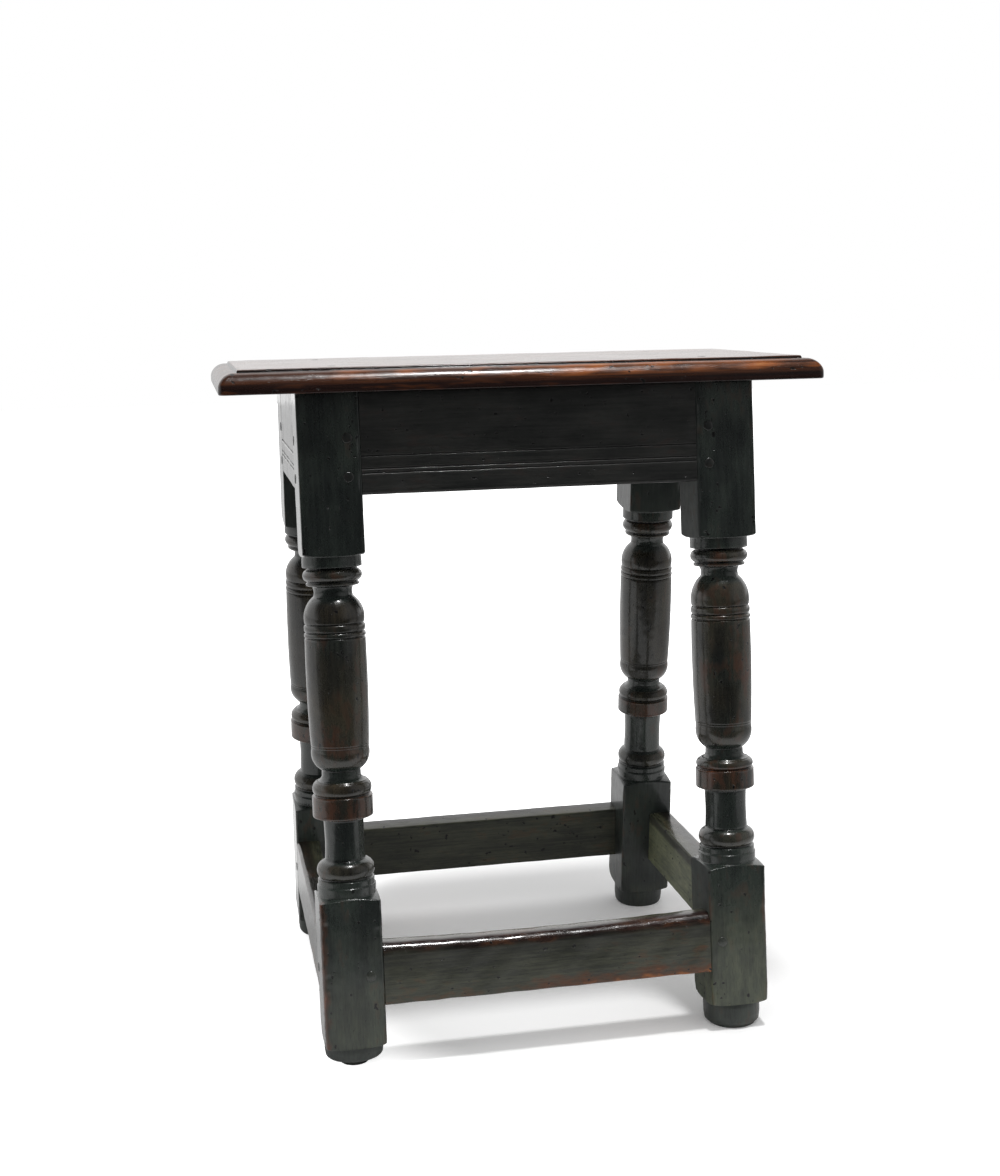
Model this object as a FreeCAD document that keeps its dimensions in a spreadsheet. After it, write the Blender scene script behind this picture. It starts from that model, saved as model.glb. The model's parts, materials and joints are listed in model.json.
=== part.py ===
import FreeCAD, Part
import os
import Sketcher
from FreeCAD import Vector

# A joint stool in oak. The frame's sizes are taken over the outer faces of the legs.
# X runs along the board, Y across it, Z up. The origin is on the floor under the middle of the stool.
# The legs stand upright seen from the front and lean inwards, going up, seen from the end.

doc = FreeCAD.newDocument("joint_stool")

# Driving sizes in millimetres
driving_sizes = {
    "stool_height": 560,
    # the board and the thumbnail moulding on its edge
    "board_length": 490,
    "board_width": 254,
    "board_thick": 19,
    "mould_width": 15,
    "mould_rise": 10.5,
    "mould_swell": 3.5,
    "quirk_depth": 2,
    "edge_tuck": 2.5,
    # the frame: how far the board hangs over it, and how far each leg splays out at the floor
    "end_overhang": 58.5,
    "side_overhang": 12,
    "leg_splay": 54,
    # the legs, with lengths along the leg
    "leg_square": 49.5,
    "foot_height": 20,
    "foot_diameter": 47.4,
    "lower_block": 119,
    "turned_length": 274,
    # the rails under the board and the moulding run on their faces
    "rail_depth": 81,
    "rail_thick": 22,
    "rail_line_high": 30.5,
    "rail_line_mid": 20.5,
    "rail_line_low": 17,
    "rail_line_width": 1.6,
    "rail_line_depth": 1.2,
    "rail_arris": 3,
    # the stretchers near the floor
    "stretcher_lift": 50,
    "stretcher_depth": 50,
    "stretcher_thick": 22,
    "stretcher_arris": 4,
    "stretcher_wear": 3,
    # the joints
    "tenon_setback": 10,
    "tenon_thick": 9,
    "tenon_gap": 3.5,
    "tenon_haunch": 12,
    "tenon_step": 4,
    "mortise_room": 1.2,
    # the pegs
    "peg_diameter": 8.6,
    "peg_inset": 10.5,
    "peg_gap": 2.5,
    "peg_proud": 0.5,
    "rail_peg_low": 14.5,
    "rail_peg_high": 45,
    "board_peg_in": 8,
    "board_peg_gap": 4,
    # how far a cut runs past the wood that it takes away
    "overrun": 5,
}

# Sizes that follow from the driving ones
worked_sizes = {
    "frame_length": "sizes.board_length - 2 * sizes.end_overhang",
    "frame_height": "sizes.stool_height - sizes.board_thick",
    "frame_top_y": "sizes.board_width / 2 - sizes.side_overhang",
    "frame_floor_y": "frame_top_y + sizes.leg_splay",
    "half_square": "sizes.leg_square / 2",
    "lean": "atan(sizes.leg_splay / frame_height)",
    # where a leg's axis meets the floor, and how long the axis is up to the board
    "leg_foot_x": "frame_length / 2 - half_square",
    "leg_foot_y": "frame_floor_y - half_square / cos(lean)",
    "leg_length": "frame_height / cos(lean)",
    "leg_top_y": "leg_foot_y - frame_height * tan(lean)",
    "turning_foot": "sizes.foot_height + sizes.lower_block",
    "turning_head": "turning_foot + sizes.turned_length",
    "blank_radius": "half_square * sqrt(2) + sizes.overrun",
    # the leaning rail and stretcher, with heights along the leg
    "rail_foot": "(frame_height - half_square * sin(lean)) / cos(lean) - sizes.rail_depth",
    "rail_head": "rail_foot + sizes.rail_depth",
    "stretcher_foot": "sizes.stretcher_lift",
    "stretcher_head": "stretcher_foot + sizes.stretcher_depth",
    # the upright end rail and stretcher, with heights from the floor
    "end_rail_foot": "frame_height - sizes.rail_depth",
    "end_rail_head": "frame_height",
    "end_stretcher_foot": "stretcher_foot * cos(lean) + half_square * sin(lean)",
    "end_stretcher_head": "end_stretcher_foot + sizes.stretcher_depth",
    # half the distance between the shoulders, at the middle of the piece's depth for the end pieces
    "shoulder": "frame_length / 2 - sizes.leg_square",
    "inner_foot_y": "leg_foot_y - half_square / cos(lean)",
    "end_rail_shoulder": "inner_foot_y - (end_rail_foot + end_rail_head) / 2 * tan(lean)",
    "end_stretcher_shoulder": "inner_foot_y - (end_stretcher_foot + end_stretcher_head) / 2 * tan(lean)",
    # a tenon stops short of the tenon that comes in from the side, and a peg short of the side peg
    "tenon_length": "sizes.leg_square - sizes.tenon_setback - sizes.tenon_thick - sizes.tenon_gap",
    "peg_length": "sizes.leg_square - sizes.peg_inset - sizes.peg_diameter / 2 - sizes.peg_gap",
    "peg_in_leg": "half_square - sizes.peg_inset",
    # the board pegs stop above the upper rail pegs
    "board_peg_grip": "sizes.rail_depth - sizes.rail_peg_high - sizes.peg_diameter / 2 - sizes.board_peg_gap",
    "board_peg_x": "leg_foot_x - sizes.board_peg_in",
    "board_peg_y": "leg_top_y - sizes.board_peg_in",
    # heights of the pegs along the leg
    "rail_peg_lower": "rail_foot + sizes.rail_peg_low",
    "rail_peg_upper": "rail_foot + sizes.rail_peg_high",
    "stretcher_peg": "stretcher_foot + sizes.stretcher_depth / 2",
}

sheet = doc.addObject("Spreadsheet::Sheet", "sizes")
for row, (alias, value) in enumerate(driving_sizes.items(), 1):
    sheet.set(f"A{row}", alias)
    sheet.set(f"B{row}", str(value))
    sheet.setAlias(f"B{row}", alias)

worked_sheet = doc.addObject("Spreadsheet::Sheet", "worked")
for row, (alias, formula) in enumerate(worked_sizes.items(), 1):
    worked_sheet.set(f"A{row}", alias)
    worked_sheet.set(f"B{row}", "=" + formula)
    worked_sheet.setAlias(f"B{row}", alias)
doc.recompute()


# Bodies, sketches and features, all bound to the two sheets

def new_body(label, place, turn=("0", "0", "0")):
    """A piece of the stool, set in its place. Turn is its yaw, pitch and roll."""
    body = doc.addObject("PartDesign::Body", label)
    body.Label = label
    body.setExpression("Placement", f"placement(vector({'; '.join(place)}); rotation({'; '.join(turn)}))")
    return body


def new_sketch(body, role, name, offset=("0", "0", "0"), tilt="0"):
    """A sketch on one of the piece's own planes, moved by offset and tilted about its own first axis."""
    sketch = body.newObject("Sketcher::SketchObject", f"{body.Label}_{name}")
    plane = next(feature for feature in body.Origin.OriginFeatures if feature.Role == role)
    sketch.AttachmentSupport = [(plane, "")]
    sketch.MapMode = "FlatFace"
    sketch.setExpression("AttachmentOffset",
                         f"placement(vector({'; '.join(offset)}); rotation(0; 0; {tilt}))")
    return sketch


def hold(sketch, kind, places, expression):
    """Adds a dimension to the sketch and binds it to the sheets."""
    value = float(sketch.evalExpression(expression))
    index = sketch.addConstraint(Sketcher.Constraint(kind, *places, value))
    sketch.setExpression(f"Constraints[{index}]", expression)


def draw_outline(sketch, corners):
    """Draws a closed ring. A corner is (across, along) or (across, along, swell): then an arc follows,
    which swells to the right of the way round by that much, or to the left where it is less than zero."""
    places = []
    for across, along, *_ in corners:
        places.append(Vector(sketch.evalExpression(across), sketch.evalExpression(along), 0))
    sides = []
    for number, corner in enumerate(corners):
        start, end = places[number], places[(number + 1) % len(places)]
        swell = float(sketch.evalExpression(corner[2])) if len(corner) == 3 else 0
        if swell == 0:
            sides.append((sketch.addGeometry(Part.LineSegment(start, end)), 1, 2))
            continue
        along_side = (end - start).normalize()
        crown = (start + end) / 2 + Vector(along_side.y, -along_side.x, 0) * swell
        ends = (start, crown, end) if swell > 0 else (end, crown, start)
        side = sketch.addGeometry(Part.Arc(*ends))
        sides.append((side, 1, 2) if swell > 0 else (side, 2, 1))
    for number, corner in enumerate(corners):
        side, first, last = sides[number]
        next_side, next_first, _ = sides[(number + 1) % len(sides)]
        sketch.addConstraint(Sketcher.Constraint("Coincident", side, last, next_side, next_first))
        hold(sketch, "DistanceX", (-1, 1, side, first), corner[0])
        hold(sketch, "DistanceY", (-1, 1, side, first), corner[1])
    for number, corner in enumerate(corners):
        if len(corner) == 3:
            after = corners[(number + 1) % len(corners)]
            chord = f"(({after[0]}) - ({corner[0]}))^2 + (({after[1]}) - ({corner[1]}))^2"
            radius = f"(({chord}) / 4 + ({corner[2]})^2) / (2 * abs({corner[2]}))"
            hold(sketch, "Radius", (sides[number][0],), radius)


def draw_rectangle(sketch, left, right, low, high):
    draw_outline(sketch, [(left, low), (right, low), (right, high), (left, high)])


# How far the arc of a quarter round swells from its chord, as a share of the round's radius. It is less
# than zero, because the cuts swell to the left
quarter_swell = "(1 / sqrt(2) - 1)"

# A peg is riven and shaved to six sides, and its hole closes on them as it is driven in
peg_sides = 6


def draw_peg(sketch, across, along, roll="0 deg"):
    """Draws the six sides of a peg, or of the hole that holds it, about a centre and rolled about it."""
    radius = "sizes.peg_diameter / 2"
    turns = [f"{360 / peg_sides * (side + 0.5)} deg + {roll}" for side in range(peg_sides)]
    draw_outline(sketch, [(f"{across} + {radius} * cos({turn})", f"{along} + {radius} * sin({turn})")
                          for turn in turns])


def add_feature(kind, sketch, length=None, back=False, both=False):
    """A pad or a pocket of a sketch: to a length, or through everything where none is given."""
    body = sketch.getParentGeoFeatureGroup()
    feature = body.newObject(f"PartDesign::{kind}", f"{sketch.Label}_{kind.lower()}")
    feature.Profile = sketch
    feature.Reversed = back
    if both:
        feature.SideType = "Symmetric"
    if length is None:
        feature.Type = "ThroughAll"
    else:
        feature.setExpression("Length", length)
    return feature


def turn_on_lathe(sketch):
    """Takes away what the sketch sweeps as the piece turns about its own length."""
    body = sketch.getParentGeoFeatureGroup()
    groove = body.newObject("PartDesign::Groove", f"{sketch.Label}_groove")
    groove.Profile = sketch
    groove.ReferenceAxis = (sketch, ["V_Axis"])
    return groove


def saw_level(body):
    """Saws a leaning piece off level, where the board lies on the frame."""
    sketch = new_sketch(body, "XY_Plane", "level", ("0", "0", "worked.leg_length"), "worked.lean")
    draw_rectangle(sketch, "-worked.frame_length", "worked.frame_length",
                   "-sizes.leg_square", "sizes.leg_square")
    add_feature("Pocket", sketch, back=True)


# The board: one plank with a thumbnail moulding worked on all four edges and mitred at the corners

def moulding_section(half):
    """The edge of the board from its lower arris up to the raised field, at half its length or width."""
    inner = f"{half} - sizes.mould_width"
    step = "sizes.board_thick - sizes.quirk_depth"
    return [
        (f"{half} - sizes.edge_tuck", "0"),
        (half, "sizes.edge_tuck"),
        (half, f"{step} - sizes.mould_rise", "sizes.mould_swell"),
        (inner, step),
        (inner, "sizes.board_thick"),
    ]


def make_board():
    board = new_body("top_board", ("0", "0", "worked.frame_height"))
    section = new_sketch(board, "XZ_Plane", "plank")
    draw_rectangle(section, "-sizes.board_length / 2", "sizes.board_length / 2", "0", "sizes.board_thick")
    add_feature("Pad", section, "sizes.board_width", both=True)
    edges = {"XZ_Plane": "sizes.board_length / 2", "YZ_Plane": "sizes.board_width / 2"}
    for role, half in edges.items():
        beyond = f"{half} + sizes.overrun"
        waste = moulding_section(half)
        waste += [
            (waste[-1][0], "sizes.board_thick + sizes.overrun"),
            (beyond, "sizes.board_thick + sizes.overrun"),
            (beyond, "-sizes.overrun"),
            (waste[0][0], "-sizes.overrun"),
        ]
        for side, name in ((1, "high_side"), (-1, "low_side")):
            sketch = new_sketch(board, role, f"{role[:2].lower()}_{name}")
            draw_outline(sketch, [(f"{side} * ({across})", along, *[f"{side} * {swell}" for swell in swells])
                                  for across, along, *swells in waste])
            add_feature("Pocket", sketch, both=True)
    holes = new_sketch(board, "XY_Plane", "peg_holes", ("0", "0", "sizes.board_thick"))
    for x in (-1, 1):
        for y in (-1, 1):
            draw_peg(holes, f"{x} * worked.board_peg_x", f"{y} * worked.board_peg_y")
    add_feature("Pocket", holes)


# The legs: square stock, turned between the blocks and at the foot, then mortised on the two inner faces.
# A leg is drawn standing up, with its outer side to the front, and leans when it is put in its place.

# The turning from the lower block up: radius as a share of half the square, height as a share of the
# turned length
turning_shares = [
    # the base band, and the ring set back above it
    (0.962, 0.000), (0.962, 0.050), (0.925, 0.050), (0.925, 0.081),
    # the column
    (0.690, 0.103), (0.690, 0.233),
    # the disc, and the ring set back above it
    (0.990, 0.233), (0.990, 0.295), (0.960, 0.295), (0.960, 0.332),
    # the flare and the neck under the barrel
    (0.625, 0.348), (0.625, 0.3715),
    # the long barrel, drawn in at its foot
    (0.955, 0.425), (0.995, 0.774),
    # the bead, cut apart by quirks
    (0.940, 0.780), (0.985, 0.791), (0.940, 0.804),
    # the dome over the barrel and the neck on it
    (0.970, 0.813), (0.970, 0.840), (0.640, 0.881), (0.640, 0.911),
    # the upper ring and the band under the upper block
    (0.860, 0.911), (0.975, 0.922), (0.975, 0.951), (0.960, 0.962), (0.960, 1.000),
]


def leg_turning(body):
    """Turns the leg between its blocks, and its foot under the lower block."""
    turning = new_sketch(body, "XZ_Plane", "turning")
    profile = [(f"{radius} * worked.half_square", f"worked.turning_foot + {height} * sizes.turned_length")
               for radius, height in turning_shares]
    draw_outline(turning, [
        ("worked.blank_radius", "worked.turning_foot"),
        *profile,
        ("worked.blank_radius", "worked.turning_head"),
    ])
    turn_on_lathe(turning)
    foot = new_sketch(body, "XZ_Plane", "foot")
    draw_rectangle(foot, "sizes.foot_diameter / 2", "worked.blank_radius",
                   "-sizes.foot_height - sizes.overrun", "sizes.foot_height")
    turn_on_lathe(foot)


# Each joint by name: the foot and head of the leaning piece along the leg, those of the end piece from the
# floor, half the end piece's length between shoulders, and how far the tenon's top stays below the head
joints = {
    "rail": ("worked.rail_foot", "worked.rail_head", "worked.end_rail_foot", "worked.end_rail_head",
             "worked.end_rail_shoulder", "sizes.tenon_haunch"),
    "stretcher": ("worked.stretcher_foot", "worked.stretcher_head", "worked.end_stretcher_foot",
                  "worked.end_stretcher_head", "worked.end_stretcher_shoulder", "sizes.tenon_step"),
}
tenon_outer = "-worked.half_square + sizes.tenon_setback"
tenon_inner = f"{tenon_outer} + sizes.tenon_thick"


def leg_mortises(body, hand):
    """Cuts the mortises of a leg whose neighbour along the board lies on the side of hand."""
    for name, (foot, head, end_foot, end_head, end_shoulder, haunch) in joints.items():
        sketch = new_sketch(body, "YZ_Plane", f"{name}_mortise", ("0", "0", f"{hand} * worked.half_square"))
        draw_rectangle(sketch, tenon_outer, tenon_inner, f"{foot} + sizes.tenon_step", f"{head} - {haunch}")
        add_feature("Pocket", sketch, "worked.tenon_length + sizes.mortise_room", back=hand < 0)
        # the end mortise is chopped level, so its sketch stands upright in the leaning leg
        depth = f"({end_shoulder} + worked.tenon_length + sizes.mortise_room - worked.leg_foot_y)"
        offset = ("0", f"-{depth} * sin(worked.lean)", f"{depth} * cos(worked.lean)")
        sketch = new_sketch(body, "XZ_Plane", f"end_{name}_mortise", offset, "worked.lean")
        draw_rectangle(sketch, f"{hand} * ({tenon_outer})", f"{hand} * ({tenon_inner})",
                       f"{end_foot} + sizes.tenon_step", f"{end_head} - {haunch}")
        add_feature("Pocket", sketch)


def leg_peg_holes(body, hand):
    heights = ("worked.rail_peg_lower", "worked.rail_peg_upper", "worked.stretcher_peg")
    front = new_sketch(body, "XZ_Plane", "peg_holes", ("0", "0", "worked.half_square"))
    side = new_sketch(body, "YZ_Plane", "end_peg_holes", ("0", "0", f"{-hand} * worked.half_square"))
    for height in heights:
        draw_peg(front, f"{hand} * worked.peg_in_leg", height)
        # an end peg stands upright in the leaning leg, as the end rail's hole does
        draw_peg(side, "worked.peg_in_leg", height, "worked.lean")
    add_feature("Pocket", front, "worked.peg_length")
    add_feature("Pocket", side, "worked.peg_length", back=hand > 0)
    top = new_sketch(body, "XY_Plane", "board_peg_hole", ("0", "0", "worked.leg_length"), "worked.lean")
    draw_peg(top, f"{hand} * sizes.board_peg_in", "sizes.board_peg_in")
    add_feature("Pocket", top, "worked.board_peg_grip")


def make_leg(label, x, y):
    """A leg at the corner where x and y are -1 or 1. A back leg is the front one turned half round."""
    hand = x * y
    turned = "0" if y < 0 else "180"
    place = (f"{x} * worked.leg_foot_x", f"{y} * worked.leg_foot_y", "0")
    leg = new_body(label, place, (turned, "0", "-worked.lean"))
    blank = new_sketch(leg, "XY_Plane", "blank", ("0", "0", "-sizes.foot_height"))
    draw_rectangle(blank, "-worked.half_square", "worked.half_square",
                   "-worked.half_square", "worked.half_square")
    add_feature("Pad", blank, "sizes.foot_height + worked.leg_length + sizes.leg_square")
    leg_turning(leg)
    saw_level(leg)
    floor = new_sketch(leg, "XY_Plane", "floor", tilt="worked.lean")
    draw_rectangle(floor, "-sizes.leg_square", "sizes.leg_square", "-sizes.leg_square", "sizes.leg_square")
    add_feature("Pocket", floor)
    leg_mortises(leg, hand)
    leg_peg_holes(leg, hand)


# The rails and stretchers. Each is drawn lengthwise along X with its face to the front, flush with the
# outer faces of the legs. The long ones lean with the legs. The end ones stand upright, and their
# shoulders are cut to the lean.

def run_moulding(body, foot):
    """Works the three fine lines and the rounded lower arris along a rail's face."""
    face = "-worked.half_square"
    sketch = new_sketch(body, "YZ_Plane", "moulding")
    for line in ("sizes.rail_line_high", "sizes.rail_line_mid", "sizes.rail_line_low"):
        draw_outline(sketch, [
            (face, f"{foot} + {line} - sizes.rail_line_width / 2"),
            (f"{face} + sizes.rail_line_depth", f"{foot} + {line}"),
            (face, f"{foot} + {line} + sizes.rail_line_width / 2"),
            (f"{face} - sizes.overrun", f"{foot} + {line}"),
        ])
    draw_outline(sketch, [
        (face, f"{foot} + sizes.rail_arris"),
        (f"{face} - sizes.overrun", f"{foot} + sizes.rail_arris"),
        (f"{face} - sizes.overrun", f"{foot} - sizes.overrun"),
        (f"{face} + sizes.rail_arris", f"{foot} - sizes.overrun"),
        (f"{face} + sizes.rail_arris", foot, f"{quarter_swell} * sizes.rail_arris"),
    ])
    add_feature("Pocket", sketch, both=True)


def wear_stretcher(body, head, span, hollow):
    """Rounds the outer upper arris of a stretcher, and wears its top hollow where feet have rested."""
    face = "-worked.half_square"
    sketch = new_sketch(body, "YZ_Plane", "arris")
    draw_outline(sketch, [
        (f"{face} + sizes.stretcher_arris", head, f"{quarter_swell} * sizes.stretcher_arris"),
        (face, f"{head} - sizes.stretcher_arris"),
        (f"{face} - sizes.overrun", f"{head} - sizes.stretcher_arris"),
        (f"{face} - sizes.overrun", f"{head} + sizes.overrun"),
        (f"{face} + sizes.stretcher_arris", f"{head} + sizes.overrun"),
    ])
    add_feature("Pocket", sketch, both=True)
    if hollow:
        sketch = new_sketch(body, "XZ_Plane", "wear")
        draw_outline(sketch, [
            (f"-{span}", head, "sizes.stretcher_wear"),
            (span, head),
            (span, f"{head} + sizes.overrun"),
            (f"-{span}", f"{head} + sizes.overrun"),
        ])
        add_feature("Pocket", sketch, both=True)


def make_cross_piece(label, kind, x, y):
    """A rail or stretcher on the side of the stool where x or y is -1 or 1 and the other is zero."""
    foot, head, end_foot, end_head, end_shoulder, haunch = joints[kind]
    leans = x == 0
    shoulder = "worked.shoulder" if leans else end_shoulder
    foot, head = (foot, head) if leans else (end_foot, end_head)
    yaw = {(0, -1): "0", (0, 1): "180", (1, 0): "90", (-1, 0): "-90"}[x, y]
    place = (f"{x} * worked.leg_foot_x", f"{y} * worked.leg_foot_y", "0")
    piece = new_body(label, place, (yaw, "0", "-worked.lean" if leans else "0"))
    # an end piece is longer at its foot than at its head, by the lean over half its depth each way
    spread = "0" if leans else f"({head} - ({foot})) / 2 * tan(worked.lean)"
    top = f"{head} + sizes.overrun" if leans and kind == "rail" else head
    board = new_sketch(piece, "XZ_Plane", "board", ("0", "0", "worked.half_square"))
    draw_outline(board, [
        (f"-{shoulder} - {spread}", foot),
        (f"{shoulder} + {spread}", foot),
        (f"{shoulder} - {spread}", top),
        (f"-{shoulder} + {spread}", top),
    ])
    add_feature("Pad", board, f"sizes.{kind}_thick", back=True)
    if kind == "rail":
        run_moulding(piece, foot)
        if leans:
            saw_level(piece)
    else:
        wear_stretcher(piece, head, shoulder, hollow=(x, y) == (0, -1))
    tenon = new_sketch(piece, "XZ_Plane", "tenon", ("0", "0", f"-({tenon_outer})"))
    reach = f"({shoulder} + worked.tenon_length)"
    draw_rectangle(tenon, f"-{reach}", reach, f"{foot} + sizes.tenon_step", f"{head} - {haunch}")
    add_feature("Pad", tenon, "sizes.tenon_thick", back=True)
    holes = new_sketch(piece, "XZ_Plane", "peg_holes")
    heights = ("worked.stretcher_peg",)
    if kind == "rail":
        heights = ("worked.rail_peg_lower", "worked.rail_peg_upper")
    for height in heights:
        if leans:
            across, along = "(worked.shoulder + sizes.peg_inset)", height
        else:
            across = (f"(worked.leg_foot_y - {height} * sin(worked.lean)"
                      " - worked.peg_in_leg * cos(worked.lean))")
            along = f"{height} * cos(worked.lean) - worked.peg_in_leg * sin(worked.lean)"
        for side in (-1, 1):
            draw_peg(holes, f"{side} * {across}", along)
    add_feature("Pocket", holes, both=True)


# The pegs: riven oak, shaved to six sides. Each is drawn standing on its point, with its head at the mouth
# of the hole, or proud of it.

def make_peg(label, place, turn, length, proud):
    """A peg driven in to a length, with its head proud of the face."""
    peg = new_body(label, place, turn)
    head = new_sketch(peg, "XY_Plane", "head", ("0", "0", proud))
    draw_peg(head, "0", "0")
    add_feature("Pad", head, f"{length} + {proud}", back=True)


def make_joint_pegs():
    """Two pegs for each rail joint and one for each stretcher joint, driven in from the outer faces."""
    heights = {
        ("rail", "lower"): "worked.rail_peg_lower",
        ("rail", "upper"): "worked.rail_peg_upper",
        ("stretcher", "middle"): "worked.stretcher_peg",
    }
    for (kind, level), height in heights.items():
        face_y = f"(worked.leg_foot_y + worked.half_square * cos(worked.lean) - {height} * sin(worked.lean))"
        face_z = f"{height} * cos(worked.lean) + worked.half_square * sin(worked.lean)"
        end_y = f"(worked.leg_foot_y - {height} * sin(worked.lean) - worked.peg_in_leg * cos(worked.lean))"
        end_z = f"{height} * cos(worked.lean) - worked.peg_in_leg * sin(worked.lean)"
        for side_y, side_name in ((-1, "front"), (1, "back")):
            for side_x, end_name in ((-1, "left"), (1, "right")):
                place = (f"{side_x} * (worked.shoulder + sizes.peg_inset)", f"{side_y} * {face_y}", face_z)
                turn = ("0" if side_y < 0 else "180", "0", "90 deg - worked.lean")
                make_peg(f"peg_{kind}_{side_name}_{end_name}_{level}", place, turn,
                         "worked.peg_length", "sizes.peg_proud")
                place = (f"{side_x} * worked.frame_length / 2", f"{side_y} * {end_y}", end_z)
                turn = (f"{side_x * 90}", "0", "90")
                make_peg(f"peg_{kind}_{end_name}_{side_name}_{level}", place, turn,
                         "worked.peg_length", "sizes.peg_proud")


def make_board_pegs():
    """Four pegs driven down through the board into the leg tops and planed off flush."""
    for y, side_name in ((-1, "front"), (1, "back")):
        for x, end_name in ((-1, "left"), (1, "right")):
            place = (f"{x} * worked.board_peg_x", f"{y} * worked.board_peg_y", "sizes.stool_height")
            make_peg(f"peg_board_{side_name}_{end_name}", place, ("0", "0", "0"),
                     "sizes.board_thick + worked.board_peg_grip", "0")


make_board()
for y, side_name in ((-1, "front"), (1, "back")):
    for x, end_name in ((-1, "left"), (1, "right")):
        make_leg(f"leg_{side_name}_{end_name}", x, y)
for side_name, x, y in (("front", 0, -1), ("back", 0, 1), ("left", -1, 0), ("right", 1, 0)):
    for kind in joints:
        make_cross_piece(f"{kind}_{side_name}", kind, x, y)
make_joint_pegs()
make_board_pegs()
doc.recompute()

# Every feature has to be sound, every cut has to take wood away, and every piece is one solid
for thing in doc.Objects:
    if "Invalid" in thing.State or "Error" in thing.State:
        raise RuntimeError(f"{thing.Label} failed: {thing.State}")
    if thing.TypeId in ("PartDesign::Pocket", "PartDesign::Groove"):
        if not thing.Shape.Volume < thing.BaseFeature.Shape.Volume:
            raise RuntimeError(f"{thing.Label} cuts nothing")

os.makedirs("parts", exist_ok=True)
for piece in doc.Objects:
    if piece.TypeId == "PartDesign::Body":
        if piece.Shape.isNull() or not piece.Shape.isValid() or len(piece.Shape.Solids) != 1:
            raise RuntimeError(f"{piece.Label} isn't one sound solid")
        piece.Shape.exportStep(f"parts/{piece.Label}.step")
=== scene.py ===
import json
import bpy
import numpy as np
from mathutils import Matrix, Vector


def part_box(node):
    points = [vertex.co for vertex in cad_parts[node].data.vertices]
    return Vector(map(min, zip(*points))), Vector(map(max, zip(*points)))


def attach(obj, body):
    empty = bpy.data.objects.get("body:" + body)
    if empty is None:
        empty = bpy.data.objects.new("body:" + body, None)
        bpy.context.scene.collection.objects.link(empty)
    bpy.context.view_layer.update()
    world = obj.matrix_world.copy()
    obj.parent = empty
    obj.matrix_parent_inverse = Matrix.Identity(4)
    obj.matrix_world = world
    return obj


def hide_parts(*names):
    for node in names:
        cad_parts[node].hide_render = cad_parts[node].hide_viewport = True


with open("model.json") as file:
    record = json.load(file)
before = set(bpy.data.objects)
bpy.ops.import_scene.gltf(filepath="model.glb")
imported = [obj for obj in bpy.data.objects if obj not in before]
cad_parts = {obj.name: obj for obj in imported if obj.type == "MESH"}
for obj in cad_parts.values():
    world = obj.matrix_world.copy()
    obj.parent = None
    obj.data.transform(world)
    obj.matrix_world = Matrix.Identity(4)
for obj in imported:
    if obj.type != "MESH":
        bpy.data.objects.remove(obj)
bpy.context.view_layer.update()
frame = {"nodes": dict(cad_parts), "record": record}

# The legs: squares of riven oak, 49.5 mm thick, turned on a pole lathe between two blocks that stay square
# for the joints, and turned again at the foot. Each leg leans in towards the board.
# A shape is worked out in millimetres, upright on the leg's own axis, and is then leant into its place.


def box_mm(node):
    """The lowest and the highest corner of a CAD node in millimetres."""
    return np.array(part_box(node)) * 1000


rail_low, rail_high = box_mm("rail_left")
stretcher_low, stretcher_high = box_mm("stretcher_left")
leg_low, leg_high = box_mm("leg_front_left")
# the end stretcher is longer than the end rail above it by what the legs lean
fall = (rail_low[2] + rail_high[2] - stretcher_low[2] - stretcher_high[2]) / 2
lean = np.arctan((stretcher_high[1] - rail_high[1]) / fall)
half_square = (leg_high[0] - leg_low[0]) / 2
frame_height = leg_high[2]
leg_length = frame_height / np.cos(lean)
foot_mount = next(mount for mount in frame["record"]["mounts"] if mount["name"] == "foot_back_right")
foot_x, foot_y = foot_mount["pos_m"][0] * 1000, foot_mount["pos_m"][1] * 1000
# a piece is made for the front and turned to its side of the stool
turns = {"front": 0, "back": np.pi, "left": -np.pi / 2, "right": np.pi / 2}


def waves(points, length, seed):
    """A smooth uneven height of about -1 to 1: 14 sine waves that run through space in random directions,
    added up and divided by the root of 18. Their lengths are 0.6 to 1.7 times the given one."""
    draw = np.random.default_rng(seed)
    ways = draw.normal(size=(14, 3))
    ways *= draw.uniform(0.6, 1.6, size=(14, 1)) / np.linalg.norm(ways, axis=1)[:, None]
    phases = draw.uniform(0, 2 * np.pi, size=14)
    return np.sin(points @ ways.T * 2 * np.pi / length + phases).sum(axis=-1) / np.sqrt(18)


def step_up(value, low, high):
    """0 at low, 1 at high and smooth between them: 3 t^2 - 2 t^3, with t the share of the way."""
    share = np.clip((value - low) / (high - low), 0, 1)
    return share * share * (3 - 2 * share)


def step_down(value, low, high):
    """1 at low, 0 at high and smooth between them, as step_up is."""
    return step_up(-value, -high, -low)


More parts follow.
